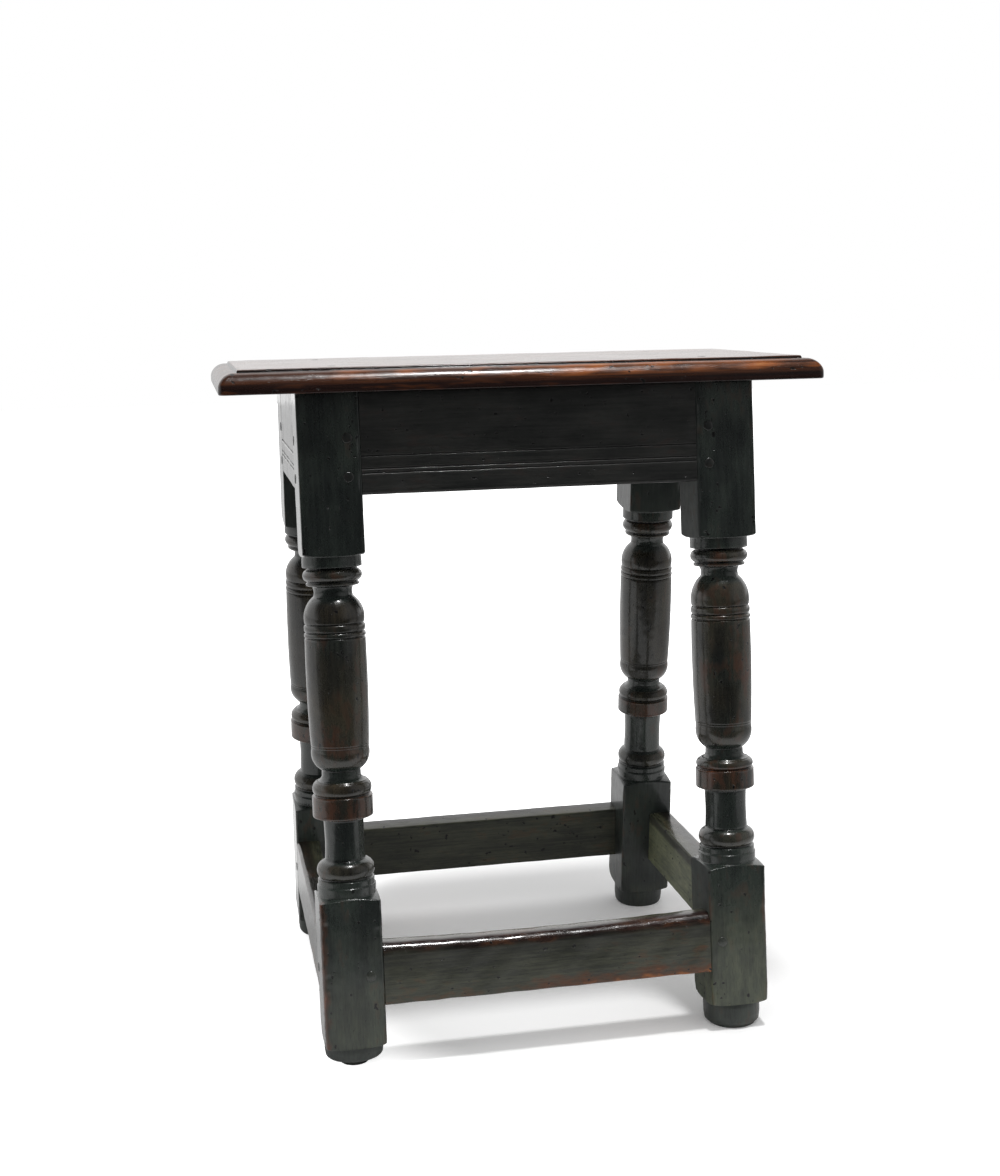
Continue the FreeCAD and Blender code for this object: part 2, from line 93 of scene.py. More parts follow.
def run_line(corners, step):
    """Points about a step apart along straight spans and round arcs. A corner (a, b, swell) starts an arc
    that swells to the right of its way. With chord c and swell s, the arc's half angle h is 2 atan(2 s / c).
    At the angle t it is sin t / sin h of half the chord along, and (cos t - cos h) / (1 - cos h) of the
    swell out."""
    spans = []
    for first, last in zip(corners[:-1], corners[1:]):
        start, chord = np.array(first[:2], float), np.subtract(last[:2], first[:2])
        reach = np.hypot(*chord)
        swell = first[2] if len(first) > 2 else 0
        count = int(np.ceil((reach + 2 * abs(swell)) / step))
        if swell == 0:
            spans.append(start + np.linspace(0, 1, max(count, 1), endpoint=False)[:, None] * chord)
            continue
        half_angle = 2 * np.arctan(2 * abs(swell) / reach)
        angles = np.linspace(-half_angle, half_angle, max(count, 8), endpoint=False)[:, None]
        along = (np.sin(angles) / np.sin(half_angle) + 1) / 2
        out = (np.cos(angles) - np.cos(half_angle)) / (1 - np.cos(half_angle)) * swell
        spans.append(start + along * chord + out * np.array([chord[1], -chord[0]]) / reach)
    spans.append(np.array([corners[-1][:2]], float))
    return np.concatenate(spans)


def stand(points, turn, lean_in, out):
    """Leans an upright piece in from its foot, moves it out from the stool's middle and turns it to its side.
    With y the way in: y' = y cos(lean) + z sin(lean), and z' = z cos(lean) - y sin(lean)."""
    x, y, z = points[..., 0] + out[0], points[..., 1], points[..., 2]
    inward = y * np.cos(lean_in) + z * np.sin(lean_in) - out[1]
    upward = z * np.cos(lean_in) - y * np.sin(lean_in)
    across = x * np.cos(turn) - inward * np.sin(turn)
    return np.stack([across, x * np.sin(turn) + inward * np.cos(turn), upward], -1)


def sawn_level(y):
    """How far up a leaning piece the board lies on it, at y from its axis:
    (height of the frame + y sin(lean)) / cos(lean)."""
    return (frame_height + y * np.sin(lean)) / np.cos(lean)


# The layers of the finish, and what each is where a piece says nothing of it. Film, wear, dust and the dark
# in the hollows are shares. The dark in the hollows is painted shade with wax, on the board the film also
# paints the shade on the lower part of its edge, and the worn crest of its moulding also paints a warm
# highlight. Matt is how much polish is lost, or below 0 gained. The last is how many mm off the nearest peg
# is.
no_layers = {"film": 0.0, "rubbed": 0.0, "dust": 0.0, "grime": 0.0, "matt": 0.0, "peg_far": 99.0}


def skin(name, grid, grain, **layers):
    """A closed mesh on a grid of points in mm: rows run along the piece, columns go round it, and a flat face
    closes each end. Grain is each point's place in the wood, with z along the fibres. Each piece is cut from
    another place, so that no two are alike."""
    rows, columns = grid.shape[:2]
    number = np.arange(rows * columns).reshape(rows, columns)
    after = np.roll(number, -1, axis=1)
    quads = np.stack([number[:-1], after[:-1], after[1:], number[1:]], -1).reshape(-1, 4)
    ends = [number[0, ::-1].tolist(), number[-1].tolist()]
    mesh = bpy.data.meshes.new(name)
    mesh.from_pydata((grid.reshape(-1, 3) / 1000).tolist(), [], quads.tolist() + ends)
    mesh.polygons.foreach_set("use_smooth", np.arange(len(quads) + 2) < len(quads))
    fibres = mesh.attributes.new("grain", "FLOAT_VECTOR", "POINT")
    fibres.data.foreach_set("vector", (grain.reshape(-1) / 1000).astype(np.float32))
    for layer, values in (no_layers | layers).items():
        spread = np.broadcast_to(values, (rows, columns)).reshape(-1).astype(np.float32)
        mesh.attributes.new(layer, "FLOAT", "POINT").data.foreach_set("value", spread)
    mesh.update()
    piece = bpy.data.objects.new(name, mesh)
    bpy.context.scene.collection.objects.link(piece)
    return piece


def linear(code):
    """An sRGB hex colour as linear light: ((c + 0.055) / 1.055)^2.4 above 0.04045, and c / 12.92 below it."""
    parts = np.array([int(code[spot:spot + 2], 16) for spot in (1, 3, 5)]) / 255
    return (*np.where(parts > 0.04045, ((parts + 0.055) / 1.055) ** 2.4, parts / 12.92).tolist(), 1)


def add_node(tree, kind, inputs=None, out=0, **settings):
    """Adds a node with its settings, fills its inputs with values or links, and gives one of its outputs."""
    node = tree.nodes.new(f"ShaderNode{kind}")
    for setting, value in settings.items():
        setattr(node, setting, value)
    for name, value in (inputs or {}).items():
        if isinstance(value, bpy.types.NodeSocket):
            tree.links.new(value, node.inputs[name])
        else:
            node.inputs[name].default_value = value
    return node.outputs[out] if node.outputs else node


# Patterns in the wood: width and length along the fibres in mm, detail, the noise level where each one
# starts and where it is full, and how far it stands out in mm. Real pores are 0.3 mm wide, and these are
# drawn wider so that they show.
wood_patterns = {
    "smoke": (24, 55, 3, 0.34, 0.66, 0.0),
    "streak": (1.8, 42, 3, 0.34, 0.66, 0.010),
    "pore": (0.7, 9, 2, 0.46, 0.36, -0.02),
    "patch": (5, 12, 4, 0.34, 0.66, 0.012),
    "dent": (9, 14, 2, 0.30, 0.70, 0.10),
    "pit": (5, 6, 1, 0.70, 0.75, -0.4),
}


def aged_oak(name, seed, tones, gloss, coat=0.5, figure=0.5, uneven=1.0, drawn_out=1.0):
    """Oak, planed or turned, and darkened by three hundred years of smoke, oil and wax.

    It is a dark brown where it stands proud and is always polished. A grey-green film lies on the flats and
    in the hollows. Arrises are rubbed through to red wood and then to bare wood, low down it is dusty, and
    black wax fills the small pits. Near-black painted shade, with wax, darkens the corners and hollows. The
    wax gives a thin glossy coat that catches sharp highlights.
    """
    material = bpy.data.materials.new(name)
    material.use_nodes = True
    tree = material.node_tree
    tree.nodes.clear()
    grain = add_node(tree, "Attribute", out="Vector", attribute_name="grain")
    layer = {what: add_node(tree, "Attribute", out="Fac", attribute_name=what) for what in no_layers}
    pattern, height = {}, 0.0
    for what, (width, length, detail, low, high, relief) in wood_patterns.items():
        length *= 1 if what in ("dent", "pit") else drawn_out
        place = add_node(tree, "Mapping", {"Vector": grain, "Location": (seed, 0.3 * seed, 0.7 * seed),
                                           "Scale": (1000 / width, 1000 / width, 1000 / length)})
        noise = add_node(tree, "TexNoise", {"Vector": place, "Scale": 1, "Detail": detail}, "Fac")
        pattern[what] = add_node(tree, "MapRange", {"Value": noise, "From Min": low, "From Max": high},
                                 interpolation_type="SMOOTHSTEP")
        height = add_node(tree, "Math", {0: pattern[what], 1: relief * uneven, 2: height},
                          operation="MULTIPLY_ADD")
    smoke = add_node(tree, "Mix", {0: figure, 2: pattern["smoke"], 3: pattern["streak"]})
    brown, film, dust = (
        add_node(tree, "Mix", {0: smoke, 6: linear(dark), 7: linear(light)}, 2, data_type="RGBA")
        for dark, light in (tones["brown"], tones["film"], tones["dust"]))
    # the wear of the piece, up to 0.18 more or less of it with each of two patterns
    wear = layer["rubbed"]
    for what in ("smoke", "patch"):
        uneven_wear = add_node(tree, "Math", {0: pattern[what], 1: 0.5}, operation="SUBTRACT")
        wear = add_node(tree, "Math", {0: uneven_wear, 1: 0.36, 2: wear}, operation="MULTIPLY_ADD")
    rub = add_node(tree, "MapRange", {"Value": wear, "From Min": 0.2, "From Max": 0.75})
    bare = add_node(tree, "MapRange", {"Value": wear, "From Min": 0.8, "From Max": 1.2})
    dusty = add_node(tree, "Math", {0: pattern["patch"], 1: 0.5, 2: 0.75}, operation="MULTIPLY_ADD")
    powder = add_node(tree, "Math", {0: layer["dust"], 1: dusty}, operation="MULTIPLY", use_clamp=True)
    open_pore = add_node(tree, "Math", {0: pattern["pore"], 1: 0.3}, operation="MULTIPLY")
    # a thin line of wax fills the gap round a peg, 4.2 to 4.8 mm from its middle
    gap = add_node(tree, "Math", {0: layer["peg_far"], 1: 4.5, 2: 0.3}, operation="COMPARE")
    wax_line = add_node(tree, "Math", {0: gap, 1: 0.25}, operation="MULTIPLY")
    colour = add_node(tree, "Mix", {0: layer["film"], 6: brown, 7: film}, 2, data_type="RGBA")
    colour = add_node(tree, "Mix", {0: powder, 6: colour, 7: dust}, 2, data_type="RGBA")
    # the near-black wax tone, laid over the dark of the hollows, is painted shade as well as wax
    for share, tone in ((rub, "rub"), (bare, "bare"), (open_pore, "wax"), (pattern["pit"], "wax"),
                        (layer["grime"], "wax"), (wax_line, "wax")):
        colour = add_node(tree, "Mix", {0: share, 6: colour, 7: linear(tones[tone])}, 2, data_type="RGBA")
    # neither range is clamped, because matt below 0 gives a finer polish
    dull = add_node(tree, "Math", {0: pattern["patch"], 1: 0.15, 2: layer["matt"]}, operation="MULTIPLY_ADD")
    roughness = add_node(tree, "MapRange", {"Value": dull, "To Min": gloss, "To Max": 0.65}, clamp=False)
    polish = add_node(tree, "MapRange", {"Value": layer["matt"], "To Min": coat, "To Max": 0.0}, clamp=False)
    bump = add_node(tree, "Bump", {"Height": height, "Strength": 1, "Distance": 0.001})
    surface = add_node(tree, "BsdfPrincipled", {
        "Base Color": colour, "Roughness": roughness, "Normal": bump, "IOR": 1.5,
        "Coat Weight": polish, "Coat Roughness": 0.1, "Coat IOR": 1.45,
    })
    add_node(tree, "OutputMaterial", {"Surface": surface})
    return material


def finish_piece(piece, material, node):
    """Gives a piece its finish and its material slot, and puts it in the place of its CAD node."""
    piece.data.materials.append(material)
    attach(piece, "root")
    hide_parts(node)


column_radius = 17.0
# the lathe's line from the lower block up: radius, height along the leg, and the swell of an arc that follows
turning = [
    # the base band, the ring set back above it, and a round
    (23.8, 139), (23.8, 146.5), (22.9, 147.2), (22.9, 151.8), (21.4, 152.4),
    (21.2, 153.4, 3.4), (18.6, 166.4),
    # the column, a little hollow
    (column_radius, 167.4, -0.5), (column_radius, 200.6),
    # the disc, and the round on it
    (18.8, 201.2), (23.4, 202.4, 0.5), (24.5, 204.8), (24.5, 218.6, 0.3), (23.9, 219.8), (22.4, 220.4),
    (22.6, 221.2, 1.7), (21.8, 230.8), (20.7, 231.4),
    # the flare down to the neck, and the foot of the barrel that swells out of it
    (20.5, 232, -1.6), (15.8, 237.4), (15.6, 240.6, 3.2), (23.2, 258.2),
    # a fine ring between two quirks, and the long barrel
    (23.3, 258.7), (22.8, 259.0), (23.3, 259.3), (23.4, 260.6), (22.9, 260.9),
    (23.5, 261.3, 0.7), (24.6, 346.2),
    # two beads cut apart by quirks
    (24.4, 347.0), (23.3, 347.5), (23.4, 347.8), (24.5, 348.4, 0.4), (24.5, 351.2), (24.1, 351.6),
    (23.0, 352.0), (23.1, 352.3), (24.2, 352.9, 0.5), (24.1, 358.0), (23.0, 358.5), (23.1, 358.8),
    # the dome over the barrel, and the neck on it
    (24.0, 359.5, 3.0), (16.4, 380.2), (15.8, 381, -0.7), (16.4, 388.4),
    # the upper ring, and the round on it
    (20.4, 389.2, 0.5), (21.2, 391.4), (20.3, 391.9), (20.4, 392.6, 3.3), (20.6, 402.2), (19.9, 402.8),
    # the band under the upper block
    (20.1, 403.3), (23.4, 404.0, 0.3), (23.9, 405.2), (24.0, 413),
]
# one foot ends in a narrower spigot, and the others are plain discs
foot_turnings = {
    "spigot": [(11.4, -3), (12.0, 0.4), (12.8, 3.0), (17.6, 3.8), (20.6, 4.6, 0.9), (23.6, 8.2), (24.2, 12),
               (24.2, 16.4)],
    "disc": [(19.4, -3), (20.6, 0.3, 0.9), (23.3, 4.6), (23.8, 8.0), (23.9, 16), (23.6, 19.4)],
}
# Turned by eye, no two legs match: the kind of foot, the radius of the column, how dusty the lower block got,
# how dull the inner faces are, how much the outermost arris was kicked, and how many mm higher or lower the
# turner came at each of these heights.
turned_heights = (139, 167, 202, 219, 231, 240, 260, 350, 359, 380, 403, 413)
turned_by_eye = {
    "leg_front_left": dict(foot_kind="spigot", column=16.3, dusty=0.14, dull_inside=0.3, kicked=1.0,
                           shifts=(0, 0, 0, 0, 0, 0, 0, 0, 0, 0, 0, 0)),
    "leg_front_right": dict(foot_kind="disc", column=17.6, dusty=0.44, dull_inside=1.0, kicked=0.2,
                            shifts=(0, 0, -0.7, -1.5, -5, -5, -3.5, -3.3, -3.3, -0.3, 0, 0)),
    "leg_back_left": dict(foot_kind="disc", column=17.0, dusty=0.2, dull_inside=0.3, kicked=0.2,
                          shifts=(0, 1, 1.5, 1, -1, -1, -2, 1, 1, 0, 0, 0)),
    "leg_back_right": dict(foot_kind="disc", column=17.9, dusty=0.04, dull_inside=0.2, kicked=0.2,
                           shifts=(0, 0, 4.5, 1.5, 0, 0, 0, -2, -3, -3, -1, 0)),
}
block_head, upper_block_foot = turning[0][1], turning[-1][1]
# past the square's corners the lathe takes nothing away, and a block's shoulder falls over this height
corner_radius = half_square * np.sqrt(2) + 2
shoulder_fall = 3.2
# the line runs past the leg's head by this much, to be sawn off level
overrun = 4
# how far out from the axis a point begins to count as on a block's face, and where it counts in full
face_reach = (22.5, 24)
# painted shade and wax gather only in hollows of less than this radius
hollow_radius = 24


def leg_line(foot_line, column, shifts):
    """The lathe's line of a whole leg, as (radius, height), and the height of the lower block's foot. Along
    the blocks it stands outside the square's corners. Between them it has the column's own radius, and is
    moved up or down by the turner's shifts, which run evenly from each turned height to the next."""
    foot = run_line(foot_line, 0.8)
    block_foot = foot_line[-1][1] + 0.6
    lower = run_line([(corner_radius, block_foot + shoulder_fall),
                      (corner_radius, block_head - shoulder_fall)], 1.8)
    middle = run_line(turning, 0.8)
    on_column = step_up(middle[:, 1], 166, 169) * step_down(middle[:, 1], 199.5, 202)
    middle[:, 0] += (column - column_radius) * on_column
    middle[:, 1] += np.interp(middle[:, 1], turned_heights, shifts)
    upper = run_line([(corner_radius, upper_block_foot + shoulder_fall),
                      (corner_radius, leg_length + overrun)], 2)
    line = np.concatenate([
        foot[:-1], run_line([(*foot[-1], 1.2), lower[0]], 0.6)[:-1],
        lower[:-1], run_line([lower[-1], middle[0]], 0.6)[:-1],
        middle[:-1], run_line([(*middle[-1], 0.9), upper[0]], 0.6)[:-1],
        upper,
    ])
    return line, block_foot


def leg_shape(hand, seed, foot_kind, column, dusty, dull_inside, kicked, shifts):
    """A leg upright on its axis, and the layers of its finish. Hand is the side of the neighbour along the
    board.

    Its radius is the lesser of the lathe's line and of the square, which at the angle t is
    half / max(|cos t|, |sin t|) on the flats. On an arris rounded by q, with k = half - q, c = |cos t| and
    s = |sin t|, it is k (c + s) + sqrt(q^2 - k^2 (c - s)^2). The lesser of a and b, softened over w, is
    (a + b - sqrt((a - b)^2 + w^2)) / 2.
    """
    # 23 columns on each side, and 10 closer together round each arris
    flat = np.arctan(np.linspace(-0.92, 0.92, 23))
    arris = np.linspace(flat[-1], np.pi / 2 - flat[-1], 11, endpoint=False)[1:]
    angles = (np.concatenate([flat, arris]) + np.pi / 2 * np.arange(4)[:, None]).reshape(-1)
    line, block_foot = leg_line(foot_turnings[foot_kind], column, shifts)
    radius, height = line[:, :1], line[:, 1:]
    # the wood's unevenness is read on a plain cylinder, so that it doesn't jump with the turning
    read_at = 20
    ring = np.stack(np.broadcast_arrays(read_at * np.cos(angles), read_at * np.sin(angles), height), -1)
    rough, fine = waves(ring, 45, seed), waves(ring, 12, seed + 1)
    cos_angle, sin_angle = np.abs(np.cos(angles)), np.abs(np.sin(angles))
    outermost = kicked * step_up(-hand * np.cos(angles), 0.2, 0.5) * step_up(-np.sin(angles), 0.2, 0.5)
    battered = step_down(height, 120, 190) + np.exp(-((height - block_foot) / 7) ** 2)
    rounding = np.clip(1.3 + 0.3 * rough + battered * (0.8 + 0.6 * fine + 0.8 * outermost), 0.8, 4.2)
    core = half_square - rounding
    over = np.clip(rounding ** 2 - (core * (cos_angle - sin_angle)) ** 2, 0, None)
    flats = half_square / np.maximum(cos_angle, sin_angle)
    square = np.where(over > 0, core * (cos_angle + sin_angle) + np.sqrt(over), flats)
    planed = 0.05 * (1 + rough) + 0.12 * (1 + fine) * np.exp(-((height - block_foot) / 8) ** 2)
    square = np.minimum(square, flats) - planed
    radius = np.broadcast_to(radius, square.shape)
    shoulders = (block_foot, block_head, upper_block_foot)
    soft = 0.1 + sum(1.6 * np.exp(-((height - level) / 3) ** 2) for level in shoulders)
    out = (radius + square - np.sqrt((radius - square) ** 2 + soft)) / 2 + 0.04 * fine
    x, y = out * np.cos(angles), out * np.sin(angles)
    # sawn level at the floor and under the board
    height = np.clip(height, y * np.tan(lean), sawn_level(y))
    grid = np.stack([x, y, height], -1)

    # painted shade and wax gather where the turning is hollower than the mean of its line 5 points up and
    # down
    on_block = step_up(radius, 24.6, 30)
    turned = np.pad(np.minimum(line[:, 0], hollow_radius), 5, mode="edge")
    mean_radius = np.convolve(turned, np.ones(11) / 11, "valid")[:, None]
    hollow = (1 - on_block) * (mean_radius - np.minimum(radius, hollow_radius))
    proud = step_up(radius, 18.8, 21.5) * step_up(height, 152, 154) * step_down(height, 402, 404)
    on_disc = step_up(height, 201, 203) * step_down(height, 220, 223)
    low_down = step_down(height, 120, 300)
    arris_far = half_square - np.minimum(np.abs(x), np.abs(y))
    worn_reach = 2.4 + 0.7 * rough + low_down * (0.6 + 6 * outermost)
    arris_worn = (step_down(arris_far / worn_reach, 0.1, 1) * on_block
                  * (0.14 + low_down * (0.1 + 0.5 * outermost) + 0.06 * fine))
    ring_worn = proud * (0.1 + 0.14 * rough + 0.38 * on_disc) + 0.25 * np.clip(-hollow, 0, 1)
    inner = on_block * np.maximum(step_up(x * hand, *face_reach), step_up(y, *face_reach))
    end_face = step_up(-x * hand, *face_reach)
    by_the_floor = on_block * step_down(height, 34, 134)
    on_foot = step_down(height, block_foot - 1, block_foot + 1)
    layers = {
        "film": 1 - proud * (1 - on_block) * (0.6 - 0.25 * rough),
        "rubbed": arris_worn + (1 - on_block) * ring_worn * step_up(height, 130, 200),
        "dust": by_the_floor * (1 - 0.7 * end_face) * (dusty + 0.1 * rough) + 0.04 * on_foot,
        # the hollows of the turning are darkened with painted shade and wax
        "grime": 0.95 * step_up(hollow, 0.25, 0.9),
        "matt": (np.maximum(dull_inside * inner, 0.6 * on_foot) + 0.4 * by_the_floor * (1 - end_face)
                 - 0.35 * on_block * end_face),
    }
    return grid, layers


# where the rails and stretchers meet the leg, along its length
rail_depth = rail_high[2] - rail_low[2]
rail_foot = (frame_height - half_square * np.sin(lean)) / np.cos(lean) - rail_depth
stretcher_foot, stretcher_depth = 50, stretcher_high[2] - stretcher_low[2]
# the pegs stand this far in from the leg's corner, and the rails' pegs this far up from the rail's foot
peg_inset, lower_peg, upper_peg = 10.5, 14.5, 45
peg_in = half_square - peg_inset
peg_heights = (rail_foot + lower_peg, rail_foot + upper_peg, stretcher_foot + stretcher_depth / 2)


def peg_distance(grid, hand):
    """How far off the nearest peg is in mm, on the outer face and on the end face, and much more where the
    leg faces another way. Hand is the side of the neighbour along the board."""
    face_from, elsewhere = 20, 50
    off_outer = elsewhere * (grid[..., 1] > -face_from)
    off_end = elsewhere * (grid[..., 0] * hand > -face_from)
    far = np.full(grid.shape[:2], no_layers["peg_far"])
    for height in peg_heights:
        outer = np.hypot(grid[..., 0] - hand * peg_in, grid[..., 2] - height) + off_outer
        end = np.hypot(grid[..., 1] - peg_in, grid[..., 2] - height) + off_end
        far = np.minimum(far, np.minimum(outer, end))
    return far


# near-black, with a cold film in the hollows and warm brown on the rings, glossy enough for sharp glints
leg_oak = aged_oak("turned_blackened_oak", seed=1, tones={
    "brown": ("#181511", "#3b3325"), "film": ("#191e1d", "#2f3631"), "rub": "#472a1b", "bare": "#7c4422",
    "dust": ("#4b503f", "#666b52"), "wax": "#040404",
}, gloss=0.24, coat=0.6, figure=0.25)
for number, (name, by_eye) in enumerate(turned_by_eye.items()):
    side, end = name.split("_")[1:]
    hand = 1 if (side == "front") == (end == "left") else -1
    upright, layers = leg_shape(hand, seed=10 + 7 * number, **by_eye)
    leg = skin(f"{name}_turned", stand(upright, turns[side], lean, (-hand * foot_x, foot_y)),
               upright + (0, 0, 977 * number), peg_far=peg_distance(upright, hand), **layers)
    finish_piece(leg, leg_oak, name)

# The rails: riven oak boards 22 mm thick under the seat, tenoned into the legs with their faces flush.
# Three fine lines were run along each face with a scratch stock, and the lower arris was eased.

thick = 22
face, back = -half_square + 0.15, -half_square + thick
shoulder = foot_x - half_square
# the long rails and stretchers lean with the legs, and those at the ends stand upright
leaning_sides = ("front", "back")


def shoulder_reach(side, heights):
    """Half the length between the shoulders at each height. On a leaning side it is the same all the way up.
    At an end the legs lean together, so it is that at the floor, less the height times tan(lean)."""
    if side in leaning_sides:
        return [shoulder for height in heights]
    return [foot_y - half_square / np.cos(lean) - height * np.tan(lean) for height in heights]


def board_grid(outline, reaches, heights, steps, seed, uneven):
    """A board upright in its place: its outline of (depth, height) points is carried along x, from shoulder
    to shoulder. Its half length runs evenly from reaches[0] at the foot to reaches[1] at the head."""
    share_up = (outline[:, 1] - heights[0]) / (heights[1] - heights[0])
    reach = reaches[0] + (reaches[1] - reaches[0]) * share_up
    shares = -np.cos(np.linspace(0, np.pi, steps))[:, None]
    grid = np.stack(np.broadcast_arrays(shares * reach, outline[:, 0], outline[:, 1]), -1).astype(float)
    fade = 1 - step_up(np.abs(shares), 0.93, 1.0)
    grid[..., 1] += uneven * waves(grid, 34, seed) * fade
    grid[..., 2] += uneven * waves(grid, 30, seed + 1) * fade
    return grid


def to_its_side(points, side):
    """Leans a rail or a stretcher with the legs, or leaves it upright at an end, and takes it to its side."""
    if side in leaning_sides:
        return stand(points, turns[side], lean, (0, foot_y))
    return stand(points, turns[side], 0, (0, foot_x))


# how far the fine lines run above the rail's foot
line_heights = (30.5, 20.5, 17)


def rail_outline(foot, head):
    """The rail's section from the head down its face, round under it and up its back."""
    corners = [(face, head)]
    for line in line_heights:
        corners += [(face, foot + line + 1.0), (face + 0.3, foot + line + 0.6), (face + 1.2, foot + line),
                    (face + 0.3, foot + line - 0.6), (face, foot + line - 1.0)]
    corners += [(face, foot + 3, 0.88), (face + 3, foot), (back - 1, foot, 0.3), (back, foot + 1),
                (back, head), (face, head)]
    return run_line(corners, 1.6)[:-1]


# planed flat and little touched: an even cold black with a soft sheen
rail_oak = aged_oak("planed_blackened_oak", seed=2, tones={
    "brown": ("#1a1918", "#2d2826"), "film": ("#1a1e1e", "#2f3432"), "rub": "#36221d", "bare": "#7d4420",
    "dust": ("#454a3c", "#5d6250"), "wax": "#050505",
}, gloss=0.3, figure=0.4)
for number, side in enumerate(turns):
    leans = side in leaning_sides
    heights = (rail_foot, rail_foot + rail_depth) if leans else (rail_low[2], rail_high[2])
    upright = board_grid(rail_outline(*heights), shoulder_reach(side, heights), heights,
                         steps=90, seed=40 + 2 * number, uneven=0.1)
    if leans:
        upright[..., 2] = np.minimum(upright[..., 2], sawn_level(upright[..., 1]))
    depth, height = upright[..., 1] - face, upright[..., 2] - heights[0]
    inside = step_up(depth, thick - 3, thick - 1)
    in_a_line = step_up(depth, 0.05, 0.3) * (depth < 2)
    end_polish = 0.0 if leans else 0.35
    rail = skin(f"rail_{side}_run", to_its_side(upright, side),
                upright[..., [1, 2, 0]] + (300 * number, 0, 0),
                film=0.5, rubbed=0.25 * step_down(height, -0.5, 2.5), dust=0.2 * inside,
                matt=np.maximum(inside, 0.75 * in_a_line) - end_polish * (depth < 0.3),
                # the bottoms of the fine lines are darkened with painted shade and wax
                grime=0.9 * step_up(depth, 0.3, 1.1) * step_down(depth, 1.4, 2) * step_up(height, 10, 12))
    finish_piece(rail, rail_oak, f"rail_{side}")

# The stretchers: plain riven oak boards 22 mm thick, tenoned in low down. Resting feet have worn the front
# one hollow along its top and rounded its outer arris, and the polish there is thick and shiny.


def stretcher_outline(foot, head, arris):
    """The stretcher's section from its rounded outer arris down the face, round under it and up its back."""
    return run_line([(face + arris, head, 0.24 * arris), (face, head - arris), (face, foot + 2, 0.6),
                     (face + 2, foot), (back - 1, foot, 0.3), (back, foot + 1), (back, head - 2.4, 0.5),
                     (back - 2, head - 0.6, 0.3), (face + arris, head)], 1.2)[:-1]


# rubbed by boots: warm brown, and low on the face bare orange wood, under a thick and lumpy polish
stretcher_oak = aged_oak("foot_rubbed_oak", seed=3, tones={
    "brown": ("#150c0b", "#33201a"), "film": ("#151713", "#33342a"), "rub": "#4e2c10", "bare": "#a05c1c",
    "dust": ("#5a5e4a", "#7a7e62"), "wax": "#050505",
}, gloss=0.2, figure=0.5, uneven=1.5)
hollow_deep = 2.8
for number, side in enumerate(turns):
    leans, trodden = side in leaning_sides, side == "front"
    heights = ((stretcher_foot, stretcher_foot + stretcher_depth) if leans
               else (stretcher_low[2], stretcher_high[2]))
    outline = stretcher_outline(*heights, arris=8 if trodden else 3)
    upright = board_grid(outline, shoulder_reach(side, heights), heights,
                         steps=130, seed=60 + 2 * number, uneven=0.2 if trodden else 0.1)
    share_up = (upright[..., 2] - heights[0]) / stretcher_depth
    rough = waves(upright * (1, 1, 2), 40, 90 + number)
    if trodden:
        worn_down = hollow_deep * (1 - (upright[..., 0] / shoulder) ** 2)
        upright[..., 2] -= worn_down * np.clip(2 * share_up - 1, 0, 1)
    depth = upright[..., 1] - face
    inside = step_up(depth, thick - 3, thick - 1)
    on_top = step_up(share_up, 0.965, 0.99)
    near_top = step_up(share_up + 0.03 * rough, 0.80, 0.92) * (1 if trodden else 0.4)
    near_foot = (step_down(share_up + 0.12 * rough, 0.0, 0.36)
                 * (0.25 + 0.75 * step_up(upright[..., 0], -60, 60)))
    if leans:
        dusty = 0.12 * step_down(share_up, 0.4, 0.85) * (1 - inside) + 0.1 * inside
        matt_face = 0.3
    else:
        # the end stretchers' backs are pale with dust below a dark bevel, and their faces shine
        dusty = inside * (0.1 + 0.8 * step_down(share_up, 0.78, 0.86))
        matt_face = -0.35
    piece = skin(f"stretcher_{side}_worn", to_its_side(upright, side),
                 upright[..., [1, 2, 0]] + (400 + 300 * number, 0, 0),
                 film=1 - near_top * (1 - inside),
                 rubbed=(1 - inside) * (0.17 * near_top + 0.95 * near_foot + 0.1 * rough),
                 dust=dusty + 0.35 * on_top * step_up(depth, 8, 16),
                 matt=np.maximum(0.8 * inside, matt_face * (1 - near_top)))
    finish_piece(piece, stretcher_oak, f"stretcher_{side}")

# The pegs: riven oak pins, a little out of round, driven through each joint from outside. Their heads are
# pared off almost flush and show as small discs of dark end grain.


def peg_grid(radius, length, seed):
    """A pin with its head at the origin and its length down -z. Its radius wavers with the angle a by
    3.5 % of cos 3a and 3 % of cos 5a."""
    angles = np.linspace(0, 2 * np.pi, 24, endpoint=False)
    line = run_line([(0.84 * radius, -length), (radius, -1), (0.96 * radius, -0.4), (0.8 * radius, -0.12),
                     (0.3, 0)], 2)
    waver = 1 + 0.035 * np.cos(3 * angles + seed) + 0.03 * np.cos(5 * angles + 2 * seed)
    out = line[:, :1] * waver
    return np.stack([out * np.cos(angles), out * np.sin(angles), line[:, 1:] + 0 * angles], -1)


